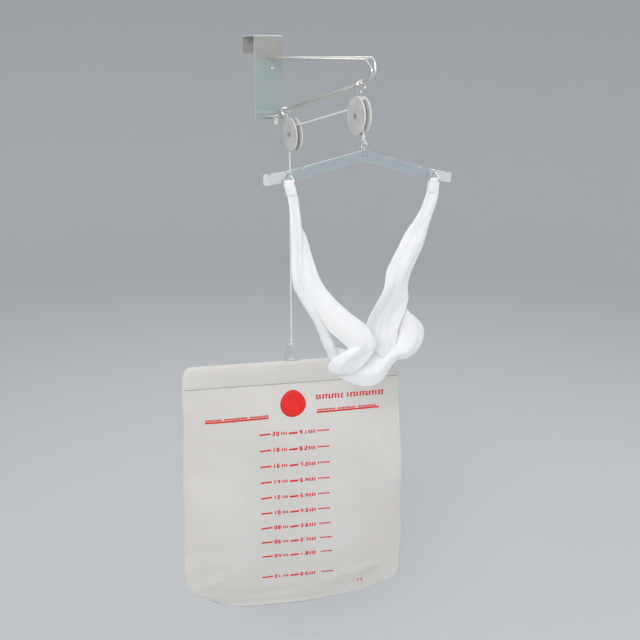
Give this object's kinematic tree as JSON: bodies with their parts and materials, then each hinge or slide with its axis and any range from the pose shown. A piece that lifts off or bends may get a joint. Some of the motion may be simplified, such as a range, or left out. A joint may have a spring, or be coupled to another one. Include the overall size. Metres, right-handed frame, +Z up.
{
  "type": "cervical traction set",
  "caption": "Over-door cervical traction set: a door plate with a wire arm carries cord pulleys, a notched spreader with a cloth head halter, and a flat weight bag on the cord's other end.",
  "frame": {"origin": "middle of the over-door hook's seat, where it rests on the door's top edge", "axes": "+Z up, +Y through the door away from the user, the arm reaches out along -Y"},
  "size_m": [0.3596, 0.3789, 0.993],
  "materials": {
    "plate_paint": "satin grey paint",
    "rivet": "polished",
    "arm_wire": "bright plated wire",
    "axle_steel": "satin",
    "hook_wire": "bright plated wire",
    "pulley_plastic": "moulded, satin",
    "cord": "braided cord",
    "bar_paint": "satin blue-grey paint",
    "cloth": "soft woven cloth",
    "hem_steel": "satin",
    "vinyl": "soft matt vinyl"
  },
  "bodies": {
    "bracket": {"door_plate": "plate_paint", "boss_rivet": "rivet", "arm_rod_left": "arm_wire", "arm_rod_right": "arm_wire", "front_pulley_axle": "axle_steel", "front_pulley_cheek_left": "pulley_plastic", "front_pulley_cheek_right": "pulley_plastic", "front_pulley_crown": "pulley_plastic", "front_pulley_hook": "hook_wire", "rear_pulley_axle": "axle_steel", "rear_pulley_cheek_left": "pulley_plastic", "rear_pulley_cheek_right": "pulley_plastic", "rear_pulley_crown": "pulley_plastic", "rear_pulley_hook": "hook_wire", "cord_over_pulleys": "cord", "cord_front_run": "cord", "cord_bag_run": "cord"},
    "front_sheave": {"front_pulley_sheave": "pulley_plastic"},
    "rear_sheave": {"rear_pulley_sheave": "pulley_plastic"},
    "front_cord_end": {"front_knot": "cord"},
    "hook": {"spreader_hook": "hook_wire"},
    "spreader": {"spreader_bar": "bar_paint", "halter_ring_left": "hook_wire", "halter_ring_right": "hook_wire"},
    "halter": {"halter_strap_left": "cloth", "halter_strap_right": "cloth", "chin_band": "cloth", "neck_band": "cloth"},
    "bag_cord_end": {"bag_knot": "cord"},
    "bag": {"bag_ring": "hook_wire", "hem_rod": "hem_steel", "weight_bag": "vinyl"}
  },
  "joints": [
    {"name": "bag_lift", "type": "slide", "parent": "bracket", "child": "bag_cord_end", "axis": [0, 0, 1], "range_m": [0, 0.2], "deforming": ["cord_bag_run"]},
    {"name": "spreader_drop", "type": "slide", "parent": "bracket", "child": "front_cord_end", "axis": [0, 0, -1], "range_m": [0, 0.2], "deforming": ["cord_front_run"]},
    {"name": "rear_sheave_spin", "type": "hinge", "parent": "bracket", "child": "rear_sheave", "pos_m": [0, -0.11, -0.147], "axis": [1, 0, 0], "range_deg": [0, 960]},
    {"name": "front_sheave_spin", "type": "hinge", "parent": "bracket", "child": "front_sheave", "pos_m": [0, -0.3135, -0.108], "axis": [1, 0, 0], "range_deg": [0, 960]},
    {"name": "hook_swivel", "type": "hinge", "parent": "front_cord_end", "child": "hook", "pos_m": [0, -0.3255, -0.142], "axis": [0, 0, 1], "range_deg": [-35, 35]},
    {"name": "spreader_tilt", "type": "hinge", "parent": "hook", "child": "spreader", "pos_m": [0, -0.3255, -0.1604], "axis": [0, 1, 0], "range_deg": [-10, 10]},
    {"name": "halter_swing", "type": "hinge", "parent": "spreader", "child": "halter", "pos_m": [0, -0.3304, -0.1938], "axis": [0.999, 0, -0.0454], "range_deg": [-25, 15]},
    {"name": "bag_swivel", "type": "hinge", "parent": "bag_cord_end", "child": "bag", "pos_m": [0, -0.098, -0.495], "axis": [0, 0, 1], "range_deg": [-25, 25]}
  ],
  "couplings": [
    {"joint": "spreader_drop", "follows": "bag_lift", "ratio": 1},
    {"joint": "rear_sheave_spin", "follows": "bag_lift", "rad_per_m": 83.333},
    {"joint": "front_sheave_spin", "follows": "bag_lift", "rad_per_m": 83.333}
  ]
}
